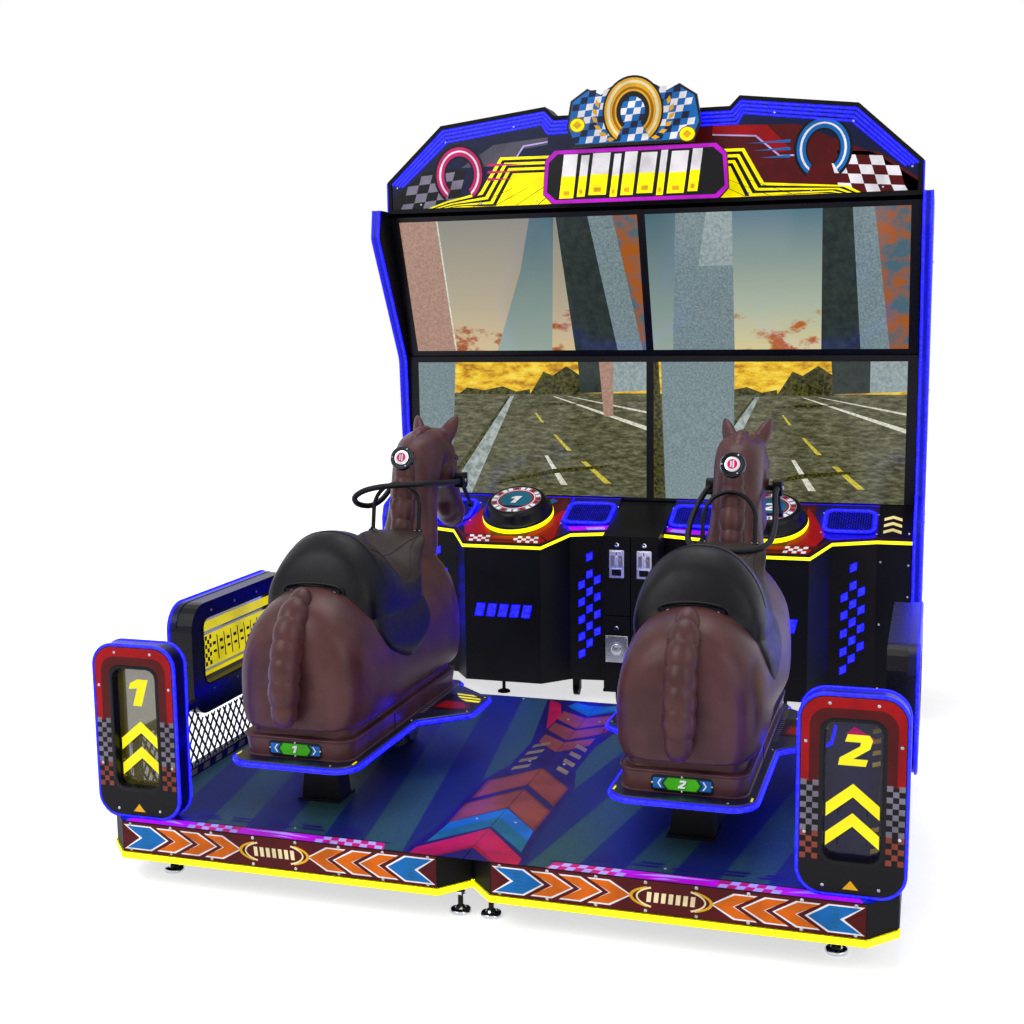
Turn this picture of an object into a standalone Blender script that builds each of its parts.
"""A two-player ride-on horse racing machine: two rocking horses on platforms before a wall of four screens.

Metres, +Z up. Everything is drawn in the machine's frame, whose Y is measured from the front face of
the platforms towards the screens. The empty named machine then centres it on the origin.
"""

import math

import bmesh
import bpy
from mathutils import Matrix, Vector

# Fits
GAP = 0.0003
BORE_CLEARANCE = 0.0004
ROUND_STEPS = 20
CORNER_STEPS = 3

# Overall places
HORSE_X = 0.580

# Platforms
PLATFORM_HALF_WIDTH = 1.160
PLATFORM_DEPTH = 1.60
PLATFORM_SEAM = 0.0006
PLATFORM_CHAMFER_X = 0.076
PLATFORM_CHAMFER_Y = 0.083
FRAME_BOTTOM = 0.088
DECK_TOP = 0.204
DECK_THICKNESS = 0.018
FRAME_TUBE = 0.040
FRAME_BAYS_X = 4
FRAME_BAYS_Y = 5
STRIP_HEIGHT = 0.021
STRIP_PROUD = 0.004
FASCIA_THICKNESS = 0.003
FOOT_PAD_RADIUS = 0.030
FOOT_PAD_HEIGHT = 0.012
FOOT_STEM_RADIUS = 0.008
FOOT_TAB = 0.022
FOOT_SIDES = 8
FOOT_OVERLAP = 0.004
FRONT_INNER_FOOT = (0.046, 0.105)
FRONT_OUTER_FOOT = (1.000, 0.144)
REAR_FOOT_INSET = 0.035

# Light signs on the front corners
SIGN_CENTRE_X = 1.037
SIGN_WIDTH = 0.270
SIGN_BOTTOM = DECK_TOP + GAP
SIGN_TOP = 0.735
SIGN_FRONT = 0.030
SIGN_DEPTH = 0.070
SIGN_CORNER = 0.065
SIGN_WINDOW_WIDTH = 0.144
SIGN_WINDOW_BOTTOM = 0.300
SIGN_WINDOW_TOP = 0.665
SIGN_WINDOW_CORNER = 0.028
PANE_THICKNESS = 0.005

# Side guards
MESH_INNER_X = 1.078
MESH_THICKNESS = 0.020
MESH_REAR = 1.350
MESH_LOW_TOP = 0.450
MESH_HIGH_TOP = 0.580
MESH_STEP_Y = 0.470
MESH_BORDER = 0.022
MESH_PITCH = 0.100
MESH_STRAND = 0.006
GUARD_FRONT = 0.470
GUARD_REAR = 1.200
GUARD_BOTTOM = 0.380
GUARD_TOP = 0.755
GUARD_OUTER_X = 1.190
GUARD_CORNER = 0.085
GUARD_WINDOW_FRONT = 0.545
GUARD_WINDOW_REAR = 1.130
GUARD_WINDOW_BOTTOM = 0.477
GUARD_WINDOW_TOP = 0.700
GUARD_WINDOW_CORNER = 0.035

# Rocking drive
PIVOT_Y = 0.366
PIVOT_Z = 0.330
PIN_RADIUS = 0.008
LUG_HALF_WIDTH = 0.030
LUG_RADIUS = 0.018
BRACKET_BASE_HALF = 0.070
BRACKET_BASE_REACH = 0.060
BRACKET_TOP_HALF = 0.0475
BRACKET_LENGTH = 0.080
BRACKET_PLATE = 0.008
BRACKET_TOP = 0.350
CRANK_Y = 0.965
CRANK_Z = 0.262
CRANK_THROW = 0.045
CRANK_RADIUS = 0.055
CRANK_THICKNESS = 0.012
CRANK_PIN_RADIUS = 0.006
YOKE_INNER_X = 0.062
YOKE_THICKNESS = 0.012
YOKE_CLEARANCE = 0.0018
YOKE_SLOT_LENGTH = 0.048
YOKE_WALL = 0.008
SHAFT_RADIUS = 0.008
SHAFT_LENGTH = 0.040
GEARBOX_HALF_Y = 0.058
GEARBOX_HEIGHT = 0.104
GEARBOX_LENGTH = 0.100
MOTOR_RADIUS = 0.043
MOTOR_LENGTH = 0.105

# Footplate and skirt
PLATE_BOTTOM = 0.365
PLATE_TOP = 0.390
SKIRT_HALF_WIDTH = 0.178
SKIRT_REAR = 0.160
SKIRT_FRONT = 1.100
SKIRT_TOP = 0.480
SKIRT_CORNER = 0.050
SKIRT_GROOVE = 0.014

# Horse
BELLY_Z = SKIRT_TOP + GAP
WAIST_Z = 0.600
TRUNK_ARCH_STEPS = 14
NECK_SIDES = 16
ROUNDNESS = 2.3
TRUNK_STATIONS = (
    (0.140, 0.095, 0.700),
    (0.150, 0.142, 0.765),
    (0.178, 0.178, 0.820),
    (0.230, 0.197, 0.858),
    (0.320, 0.205, 0.880),
    (0.450, 0.206, 0.875),
    (0.600, 0.203, 0.850),
    (0.800, 0.200, 0.845),
    (0.950, 0.200, 0.870),
    (1.050, 0.196, 0.885),
    (1.120, 0.180, 0.870),
    (1.172, 0.140, 0.825),
    (1.198, 0.080, 0.745),
)
NECK_STATIONS = (
    (0.800, 0.960, 1.185, 0.110),
    (0.920, 1.015, 1.225, 0.098),
    (1.000, 1.050, 1.250, 0.086),
    (1.100, 1.068, 1.290, 0.082),
    (1.180, 1.085, 1.350, 0.085),
    (1.240, 1.115, 1.400, 0.081),
    (1.278, 1.160, 1.410, 0.066),
    (1.300, 1.225, 1.385, 0.035),
)
HEAD_STATIONS = (
    (1.290, 1.205, 0.085, 0.076),
    (1.372, 1.162, 0.106, 0.080),
    (1.445, 1.085, 0.083, 0.066),
    (1.505, 1.005, 0.060, 0.053),
    (1.545, 0.945, 0.056, 0.056),
    (1.568, 0.912, 0.038, 0.040),
)
EAR_BASE = (0.048, 1.360, 1.250)
EAR_TIP = (0.073, 1.418, 1.325)
EAR_RADIUS = 0.024
TAIL_ROUTE = ((0.240, 0.862), (0.158, 0.795), (0.116, 0.700), (0.100, 0.610), (0.100, 0.510))
TAIL_RADIUS = 0.044
TAIL_BEADS = 7
MANE_ROUTE = ((1.080, 1.165), (1.062, 1.060), (1.040, 0.960), (1.020, 0.880))
MANE_RADIUS = 0.036
MANE_BEADS = 4
PLAIT_STEPS = 3
PLAIT_SIDES = 8

# Saddle
SADDLE_STATIONS = (
    (0.330, 0.898, 0.820),
    (0.355, 0.958, 0.800),
    (0.400, 1.008, 0.770),
    (0.465, 1.033, 0.715),
    (0.530, 1.018, 0.655),
    (0.600, 0.962, 0.625),
    (0.675, 0.905, 0.622),
    (0.750, 0.885, 0.632),
    (0.830, 0.898, 0.670),
    (0.905, 0.930, 0.725),
    (0.975, 0.946, 0.785),
    (1.020, 0.936, 0.830),
    (1.042, 0.912, 0.850),
)
SADDLE_PAD = 0.017
SADDLE_CLEARANCE = 0.0010
SADDLE_SINK = 0.012
SADDLE_ARC_STEPS = 14

# Grab handle, neck button and rein bar
HANDLE_HALF_WIDTH = 0.085
HANDLE_BASE_Y = 0.980
HANDLE_TOP_Y = 1.014
HANDLE_SEAT_Z = 0.950
HANDLE_BOSS_LOW = 0.915
HANDLE_TOP_Z = 1.114
HANDLE_RADIUS = 0.007
HANDLE_FLANGE_RADIUS = 0.015
HANDLE_FLANGE_HEIGHT = 0.005
HANDLE_FLANGE_SIDES = 12
HANDLE_SIDES = 8
BUTTON_POINT = (0.0, 1.066, 1.196)
BUTTON_TILT = 20.0
BUTTON_BEZEL_RADIUS = 0.043
BUTTON_BEZEL_HEIGHT = 0.014
BUTTON_CAP_RADIUS = 0.0225
BUTTON_CAP_PROUD = 0.008
BUTTON_TRAVEL = 0.004
BUTTON_SOCKET_DEPTH = 0.012
REIN_BAR_Y = 1.350
REIN_BAR_Z = 1.090
REIN_BAR_RADIUS = 0.010
REIN_KNOB_RADIUS = 0.017
REIN_KNOB_INNER = 0.100
REIN_KNOB_OUTER = 0.130
REIN_ARM_TIP = (1.455, 0.985)
REIN_ARM_WIDTH = 0.014
REIN_ARM_THICKNESS = 0.007
REIN_RADIUS = 0.010
REIN_POINTS = 32

# Cabinet
CABINET_INNER_X = 0.1203
CABINET_OUTER_X = 1.1345
CABINET_BOTTOM = 0.108
CABINET_TOP = 0.862
CONSOLE_FRONT = 2.140
CONSOLE_EDGE_Z = 0.718
CONSOLE_SLOPE = 0.400
CONSOLE_REAR = 2.545
CONSOLE_THICKNESS = 0.018
CONSOLE_OVERHANG = 0.008
LAMP_X = 0.555
LAMP_Y = 2.360
LAMP_RING_RADIUS = 0.157
LAMP_RING_HEIGHT = 0.034
LAMP_TOP_RADIUS = 0.122
LAMP_HEIGHT = 0.088
LAMP_STEPS = 22
SPEAKER_XS = (0.236, 0.880)
SPEAKER_Y = 2.390
SPEAKER_WIDTH = 0.206
SPEAKER_LENGTH = 0.172
SPEAKER_PROUD = 0.012
SPEAKER_RIM = 0.014
SPEAKER_CORNER = 0.030
CASTER_RADIUS = 0.025
CASTER_WIDTH = 0.024
CASTER_LIFT = 0.001
CASTER_SIDES = 10
CABINET_FOOT = (0.631, 2.352)

# Coin tower
TOWER_HALF_WIDTH = 0.120
TOWER_FRONT = 2.150
TOWER_BOTTOM = 0.092
TOWER_EDGE_Z = 0.768
TOWER_REAR_TOP = (2.500, 0.854)
DOOR_THICKNESS = 0.018
DOOR_INNER_X = 0.002
DOOR_OUTER_X = 0.1165
CASH_DOOR_Z = (0.104, 0.424)
COIN_DOOR_Z = (0.428, 0.760)
BAY_INSET = 0.010
BAY_DEPTH = 0.240
COIN_PLATE_X = (0.028, 0.090)
COIN_PLATE_Z = (0.591, 0.709)
CASH_PLATE_X = (0.012, 0.108)
CASH_PLATE_Z = (0.225, 0.340)
PLATE_PROUD = 0.005
CHUTE_HALF_WIDTH = 0.026
CHUTE_DEPTH = 0.035
LOCK_RADIUS = 0.011
CASH_LOCK_Z = 0.372
HINGE_RADIUS = 0.0035
HINGE_MARGIN = 0.050

# Screens
SCREEN_OUTER_X = 1.1345
SCREEN_ACTIVE_X = (0.0163, 1.0901)
SCREEN_THICKNESS = 0.045
SCREEN_RECESS = 0.002
LOWER_SCREEN = ((2.5582, 0.8675), (2.5465, 1.5108))
LOWER_ACTIVE = (0.0135, 0.6175)
UPPER_SCREEN = ((2.5550, 1.5115), (2.3386, 2.1270))
UPPER_ACTIVE = (0.0270, 0.6310)
CARCASS_DEPTH = 0.0968
CARCASS_BACK = LOWER_SCREEN[0][0] + SCREEN_THICKNESS + CARCASS_DEPTH
CARCASS_KNEE_Z = 1.600
CARCASS_TOP_BACK = CARCASS_BACK - 0.200
CARCASS_TOP = 2.144

# The rear cabinet, which sets the whole depth
REAR_CABINET_DEPTH = 0.200
DEPTH = CARCASS_BACK + REAR_CABINET_DEPTH
CABINET_REAR_FOOT_Y = DEPTH - 0.100
TOWER_REAR_FOOT_Y = DEPTH - 0.120
CASTER_PLACES = ((0.297, 2.387), (0.297, CABINET_REAR_FOOT_Y), (1.000, 2.420), (1.000, CABINET_REAR_FOOT_Y))
TOWER_CASTERS = ((0.080, 2.300), (0.080, TOWER_REAR_FOOT_Y))

# Side panels, header and boards
SIDE_INNER_X = CABINET_OUTER_X + 0.0005
SIDE_THICKNESS = 0.040
SIDE_TOP = CARCASS_TOP + 0.010
CONSOLE_STEPS = (2.250, 2.270, 2.280)
HEADER_HALF_WIDTH = CABINET_OUTER_X - 0.0005
HEADER_FRONT = 2.330
HEADER_DEPTH = 0.140
HEADER_RIM = 0.018
HEADER_RECESS = 0.006
BOARD_THICKNESS = 0.018
TITLE_FRONT = 2.215
TITLE_HALF_WIDTH = 0.388
TITLE_BOTTOM = 2.150
TITLE_TOP = 2.370
TOPPER_FRONT = 2.190
TOPPER_BOTTOM = 2.375
TOPPER_TOP = 2.630
TOPPER_HALF_WIDTH = 0.280

SIDES = (("_1", -1), ("_2", 1))


def clear_scene():
    for item in list(bpy.data.objects):
        bpy.data.objects.remove(item, do_unlink=True)


def finish(name, colour, roughness, metallic=0.0):
    """A Principled material of one plain colour."""
    material = bpy.data.materials.new(name)
    material.use_nodes = True
    shader = material.node_tree.nodes["Principled BSDF"]
    shader.inputs["Base Color"].default_value = (*colour, 1.0)
    shader.inputs["Roughness"].default_value = roughness
    shader.inputs["Metallic"].default_value = metallic
    return material


def arc(centre, radius, start, end, steps):
    """Points of an arc in the plane; the angles are degrees."""
    angles = [math.radians(start + (end - start) * step / steps) for step in range(steps + 1)]
    return [(centre[0] + radius * math.cos(a), centre[1] + radius * math.sin(a)) for a in angles]


def rounded(corners, radii, steps=CORNER_STEPS):
    """An outline with its corners rounded, by one radius or by one for each corner."""
    if isinstance(radii, (int, float)):
        radii = [radii] * len(corners)
    outline = []
    for index, (corner, radius) in enumerate(zip(corners, radii)):
        here = Vector(corner)
        if radius <= 0.0:
            outline.append(tuple(here))
            continue
        back = (Vector(corners[index - 1]) - here).normalized()
        ahead = (Vector(corners[(index + 1) % len(corners)]) - here).normalized()
        half = back.angle(ahead) / 2.0
        centre = here + (back + ahead).normalized() * radius / math.sin(half)
        spoke = here + back * radius / math.tan(half) - centre
        turn = math.pi - 2.0 * half
        if back.cross(ahead) > 0.0:
            turn = -turn
        for step in range(steps + 1):
            angle = turn * step / steps
            outline.append(tuple(centre + Matrix.Rotation(angle, 2) @ spoke))
    return outline


def rectangle(low_u, high_u, low_v, high_v, radius=0.0, steps=CORNER_STEPS):
    corners = [(low_u, low_v), (high_u, low_v), (high_u, high_v), (low_u, high_v)]
    return rounded(corners, radius, steps)


def smooth(stations, place):
    """The values at a place, on a smooth curve through stations sorted by their first number."""
    last = len(stations) - 1
    index = max(i for i in range(last) if stations[i][0] <= place or i == 0)
    first, second = stations[index], stations[index + 1]
    before, after = stations[max(index - 1, 0)], stations[min(index + 2, last)]
    width = second[0] - first[0]
    share = min(max((place - first[0]) / width, 0.0), 1.0)
    values = []
    for column in range(1, len(first)):
        slope_in = (second[column] - before[column]) / (second[0] - before[0]) * width
        slope_out = (after[column] - first[column]) / (after[0] - first[0]) * width
        values.append(
            (2 * share**3 - 3 * share**2 + 1) * first[column]
            + (share**3 - 2 * share**2 + share) * slope_in
            + (3 * share**2 - 2 * share**3) * second[column]
            + (share**3 - share**2) * slope_out
        )
    return values


def loft(rings, looped=False):
    """A closed skin over rings of equal count, with flat ends, or joined round when looped."""
    shape = bmesh.new()
    rows = [[shape.verts.new(point) for point in ring] for ring in rings]
    pairs = list(zip(rows, rows[1:]))
    if looped:
        pairs.append((rows[-1], rows[0]))
    for low, high in pairs:
        for index in range(len(low)):
            behind = index - 1
            shape.faces.new((low[behind], low[index], high[index], high[behind]))
    if not looped:
        shape.faces.new(list(reversed(rows[0])))
        shape.faces.new(rows[-1])
    bmesh.ops.recalc_face_normals(shape, faces=shape.faces)
    return shape


def prism(outline, axis, low, high):
    """An outline in the plane across an axis, drawn out along that axis from low to high."""
    orders = {
        "x": lambda u, v, w: (w, u, v),
        "y": lambda u, v, w: (u, w, v),
        "z": lambda u, v, w: (u, v, w),
    }
    place = orders[axis]
    return loft([[place(u, v, along) for u, v in outline] for along in (low, high)])


def box(low, high):
    return prism(rectangle(low[0], high[0], low[1], high[1]), "z", low[2], high[2])


def turned(profile, looped=False, steps=ROUND_STEPS):
    """A turned solid about Z from (radius, height) points."""
    rings = []
    for radius, height in profile:
        angles = [2.0 * math.pi * step / steps for step in range(steps)]
        rings.append([(radius * math.cos(a), radius * math.sin(a), height) for a in angles])
    return loft(rings, looped)


def rod(start, end, radius, steps=ROUND_STEPS, end_radius=None):
    """A round bar between two points, tapered when its end has a radius of its own."""
    start, end = Vector(start), Vector(end)
    shape = turned([(radius, 0.0), (end_radius or radius, (end - start).length)], steps=steps)
    turn = (end - start).to_track_quat("Z", "Y").to_matrix().to_4x4()
    bmesh.ops.transform(shape, matrix=Matrix.Translation(start) @ turn, verts=shape.verts)
    return shape


def tube(route, radii, sides, squash=1.0):
    """A tube along points in the YZ plane or in space, whose radius is given at each point."""
    points = [Vector(point) for point in route]
    rings = []
    for index, point in enumerate(points):
        ahead = points[min(index + 1, len(points) - 1)] - points[max(index - 1, 0)]
        turn = ahead.to_track_quat("Z", "X").to_matrix()
        ring = []
        for step in range(sides):
            angle = 2.0 * math.pi * step / sides
            spoke = Vector((math.cos(angle) * radii[index], math.sin(angle) * radii[index] * squash, 0.0))
            ring.append(point + turn @ spoke)
        rings.append(ring)
    return loft(rings)


def sweep(path, section):
    """A bent band: a section of (distance inside the path, height) drawn along points in plan."""
    points = [Vector(point) for point in path]
    normals = []
    for start, end in zip(points, points[1:]):
        along = (end - start).normalized()
        normals.append(Vector((-along.y, along.x)))
    mitres = [normals[0]]
    for first, second in zip(normals, normals[1:]):
        middle = (first + second).normalized()
        mitres.append(middle / middle.dot(first))
    mitres.append(normals[-1])
    rings = []
    for point, mitre in zip(points, mitres):
        rings.append([(*(point + mitre * inside), height) for inside, height in section])
    return loft(rings)


def moved(shape, offset):
    bmesh.ops.translate(shape, vec=Vector(offset), verts=shape.verts)
    return shape


def transformed(shape, matrix):
    bmesh.ops.transform(shape, matrix=matrix, verts=shape.verts)
    return shape


def sided(shape, side):
    """The shape as drawn for +X, or its mirror image for the other side."""
    if side < 0:
        bmesh.ops.scale(shape, vec=Vector((-1.0, 1.0, 1.0)), verts=shape.verts)
        bmesh.ops.reverse_faces(shape, faces=shape.faces)
    return shape


def helper(shape):
    mesh = bpy.data.meshes.new("helper")
    shape.to_mesh(mesh)
    shape.free()
    item = bpy.data.objects.new("helper", mesh)
    bpy.context.scene.collection.objects.link(item)
    return item


def worked(body, tools, operation):
    """The body after each tool is joined to it or cut from it."""
    keeper = helper(body)
    helpers = [helper(tool) for tool in tools]
    for item in helpers:
        step = keeper.modifiers.new("step", "BOOLEAN")
        step.operation = operation
        step.solver = "EXACT"
        step.object = item
    result = bmesh.new()
    result.from_object(keeper, bpy.context.evaluated_depsgraph_get())
    for item in [keeper, *helpers]:
        mesh = item.data
        bpy.data.objects.remove(item, do_unlink=True)
        bpy.data.meshes.remove(mesh)
    return result


def fused(body, *tools):
    return worked(body, tools, "UNION")


def cut(body, *tools):
    return worked(body, tools, "DIFFERENCE")


def several(shapes):
    """Separate shapes as one cutter."""
    joined = bmesh.new()
    for shape in shapes:
        mesh = bpy.data.meshes.new("helper")
        shape.to_mesh(mesh)
        shape.free()
        joined.from_mesh(mesh)
        bpy.data.meshes.remove(mesh)
    return joined


def node(name, shape, material, pivot=(0.0, 0.0, 0.0), smooth_angle=None):
    """A finished piece, with its origin at its pivot, carried by the machine's empty."""
    bmesh.ops.translate(shape, vec=-Vector(pivot), verts=shape.verts)
    mesh = bpy.data.meshes.new(name)
    shape.to_mesh(mesh)
    shape.free()
    if smooth_angle is not None:
        mesh.shade_smooth()
        mesh.set_sharp_from_angle(angle=math.radians(smooth_angle))
    mesh.materials.append(material)
    item = bpy.data.objects.new(name, mesh)
    bpy.context.scene.collection.objects.link(item)
    item.parent = MACHINE
    item.location = pivot
    return item


def foot(x, y, top):
    """A levelling foot: a round pad on a threaded stem."""
    profile = [
        (FOOT_PAD_RADIUS, 0.0),
        (FOOT_PAD_RADIUS, FOOT_PAD_HEIGHT / 2),
        (FOOT_PAD_RADIUS * 0.6, FOOT_PAD_HEIGHT),
        (FOOT_STEM_RADIUS, FOOT_PAD_HEIGHT),
        (FOOT_STEM_RADIUS, top),
    ]
    return moved(turned(profile, steps=FOOT_SIDES), (x, y, 0.0))


def caster(x, y, top):
    """A caster: a wheel in a fork that hangs under the cabinet."""
    half = CASTER_WIDTH / 2
    wheel = rod((-half, 0.0, CASTER_RADIUS), (half, 0.0, CASTER_RADIUS), CASTER_RADIUS, CASTER_SIDES)
    fork_half = half + 0.004
    fork = box((-fork_half, -0.014, CASTER_RADIUS), (fork_half, 0.020, top))
    return moved(fused(fork, wheel), (x, y, CASTER_LIFT))


def platform_outline(inset):
    """Half of the platform in plan, on the +X side, with its chamfered front corners set back."""
    inner = PLATFORM_SEAM / 2
    slant = math.hypot(PLATFORM_CHAMFER_X, PLATFORM_CHAMFER_Y)
    shift = inset * (slant - PLATFORM_CHAMFER_X) / PLATFORM_CHAMFER_Y
    side_shift = inset * slant / PLATFORM_CHAMFER_X
    return [
        (inner, PLATFORM_CHAMFER_Y + side_shift),
        (inner + PLATFORM_CHAMFER_X + shift, inset),
        (PLATFORM_HALF_WIDTH - PLATFORM_CHAMFER_X - shift, inset),
        (PLATFORM_HALF_WIDTH, PLATFORM_CHAMFER_Y + side_shift),
        (PLATFORM_HALF_WIDTH, PLATFORM_DEPTH),
        (inner, PLATFORM_DEPTH),
    ]


def make_platform(suffix, side):
    """The welded grid frame on its feet, the deck and the printed fascia with its light strip."""
    deck_bottom = DECK_TOP - DECK_THICKNESS
    setback = STRIP_PROUD + FASCIA_THICKNESS + GAP
    frame = prism(platform_outline(setback), "z", FRAME_BOTTOM, deck_bottom - GAP)
    bay_x = (PLATFORM_HALF_WIDTH - FRAME_TUBE * (FRAME_BAYS_X + 1)) / FRAME_BAYS_X
    first_y = PLATFORM_CHAMFER_Y + FRAME_TUBE
    bay_y = (PLATFORM_DEPTH - first_y - FRAME_TUBE * FRAME_BAYS_Y) / FRAME_BAYS_Y
    bays = []
    for column in range(FRAME_BAYS_X):
        low_x = FRAME_TUBE + column * (bay_x + FRAME_TUBE)
        for row in range(FRAME_BAYS_Y):
            low_y = first_y + row * (bay_y + FRAME_TUBE)
            bays.append(box((low_x, low_y, FRAME_BOTTOM - 0.01), (low_x + bay_x, low_y + bay_y, DECK_TOP)))
    frame = cut(frame, several(bays))
    places = (
        FRONT_INNER_FOOT,
        FRONT_OUTER_FOOT,
        (FRONT_INNER_FOOT[0], PLATFORM_DEPTH - REAR_FOOT_INSET),
        (FRONT_OUTER_FOOT[0], PLATFORM_DEPTH - REAR_FOOT_INSET),
    )
    tabs = []
    for x, y in places:
        tabs.append(foot(x, y, FRAME_BOTTOM + FOOT_OVERLAP))
        low = (x - FOOT_TAB, y - FOOT_TAB, FRAME_BOTTOM - 0.001)
        tabs.append(box(low, (x + FOOT_TAB, y + FOOT_TAB, FRAME_BOTTOM + 0.010)))
    frame = fused(frame, *tabs)
    node("base_frame" + suffix, sided(frame, side), STEEL_BLACK)
    deck = prism(platform_outline(setback), "z", deck_bottom, DECK_TOP)
    node("deck" + suffix, sided(deck, side), DECK_BLUE)
    outline = platform_outline(0.0)[:4]
    ends = [Vector(point) for point in outline]
    path = [ends[0].lerp(ends[1], 0.03), ends[1], ends[2], ends[3].lerp(ends[2], 0.03 / 12)]
    section = [
        (0.0, FRAME_BOTTOM),
        (0.0, FRAME_BOTTOM + STRIP_HEIGHT),
        (STRIP_PROUD, FRAME_BOTTOM + STRIP_HEIGHT),
        (STRIP_PROUD, DECK_TOP),
        (STRIP_PROUD + FASCIA_THICKNESS, DECK_TOP),
        (STRIP_PROUD + FASCIA_THICKNESS, FRAME_BOTTOM),
    ]
    node("fascia" + suffix, sided(sweep(path, section), side), PRINT_RED)


def make_sign(suffix, side):
    """The light sign on the platform's front corner: a rounded case with a glazed window through it."""
    half = SIGN_WIDTH / 2
    outline = rectangle(SIGN_CENTRE_X - half, SIGN_CENTRE_X + half, SIGN_BOTTOM, SIGN_TOP, SIGN_CORNER, 6)
    case = prism(outline, "y", SIGN_FRONT, SIGN_FRONT + SIGN_DEPTH)
    window_half = SIGN_WINDOW_WIDTH / 2

    def window(inset, low, high):
        shape = rectangle(
            SIGN_CENTRE_X - window_half + inset,
            SIGN_CENTRE_X + window_half - inset,
            SIGN_WINDOW_BOTTOM + inset,
            SIGN_WINDOW_TOP - inset,
            SIGN_WINDOW_CORNER,
        )
        return prism(shape, "y", low, high)

    case = cut(case, window(0.0, SIGN_FRONT - 0.01, SIGN_FRONT + SIGN_DEPTH + 0.01))
    node("sign_housing" + suffix, sided(case, side), CASE_BLACK, smooth_angle=30)
    middle = SIGN_FRONT + SIGN_DEPTH * 0.4
    pane = window(GAP, middle, middle + PANE_THICKNESS)
    node("sign_pane" + suffix, sided(pane, side), SMOKED)


def make_guard(suffix, side):
    """The side guard: a diamond mesh panel on the deck, and the lit box with its window that it carries."""
    outer_x = MESH_INNER_X + MESH_THICKNESS
    front = SIGN_FRONT + SIGN_DEPTH + GAP
    bottom = DECK_TOP + GAP
    outline = [
        (front, bottom),
        (MESH_REAR, bottom),
        (MESH_REAR, MESH_LOW_TOP),
        (MESH_STEP_Y, MESH_LOW_TOP),
        (MESH_STEP_Y - 0.03, MESH_HIGH_TOP),
        (front, MESH_HIGH_TOP),
    ]
    panel = prism(outline, "x", MESH_INNER_X, outer_x)
    half = MESH_PITCH / 2
    reach = half - MESH_STRAND / math.sqrt(2.0)
    rows = int((MESH_HIGH_TOP - bottom) / half) + 1
    columns = int((MESH_REAR - front) / half) + 1
    holes = []
    for row in range(1, rows):
        for column in range(1 + row % 2, columns, 2):
            centre_y = front + MESH_BORDER + column * half
            centre_z = bottom + MESH_BORDER + row * half
            top = MESH_LOW_TOP if centre_y + reach > MESH_STEP_Y - 0.05 else MESH_HIGH_TOP
            if centre_z + reach > top - MESH_BORDER or centre_y + reach > MESH_REAR - MESH_BORDER:
                continue
            diamond = arc((centre_y, centre_z), reach, 0.0, 270.0, 3)
            holes.append(prism(diamond, "x", MESH_INNER_X - 0.01, outer_x + 0.01))
    panel = cut(panel, several(holes))
    node("guard_mesh" + suffix, sided(panel, side), STEEL_BLACK)
    inner_x = outer_x + GAP
    outline = rectangle(GUARD_FRONT, GUARD_REAR, GUARD_BOTTOM, GUARD_TOP, GUARD_CORNER, 6)
    case = prism(outline, "x", inner_x, GUARD_OUTER_X)

    def window(inset, low, high):
        shape = rectangle(
            GUARD_WINDOW_FRONT + inset,
            GUARD_WINDOW_REAR - inset,
            GUARD_WINDOW_BOTTOM + inset,
            GUARD_WINDOW_TOP - inset,
            GUARD_WINDOW_CORNER,
        )
        return prism(shape, "x", low, high)

    case = cut(case, window(0.0, inner_x - 0.01, GUARD_OUTER_X + 0.01))
    node("guard_box" + suffix, sided(case, side), CASE_BLACK, smooth_angle=30)
    middle = (inner_x + GUARD_OUTER_X) / 2
    pane = window(GAP, middle - PANE_THICKNESS / 2, middle + PANE_THICKNESS / 2)
    node("guard_pane" + suffix, sided(pane, side), SMOKED)


def plate_outline():
    """The footplate in plan about the horse's middle, which steps out on each side for the feet."""
    right = [
        ((0.200, 0.110), 0.070),
        ((0.203, 0.625), 0.030),
        ((0.350, 0.755), 0.030),
        ((0.350, 0.940), 0.030),
        ((0.190, 1.080), 0.030),
        ((0.190, 1.130), 0.030),
    ]
    corners = [place for place, radius in right] + [(-x, y) for (x, y), radius in reversed(right)]
    radii = [radius for place, radius in right] + [radius for place, radius in reversed(right)]
    return rounded(corners, radii)


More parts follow.
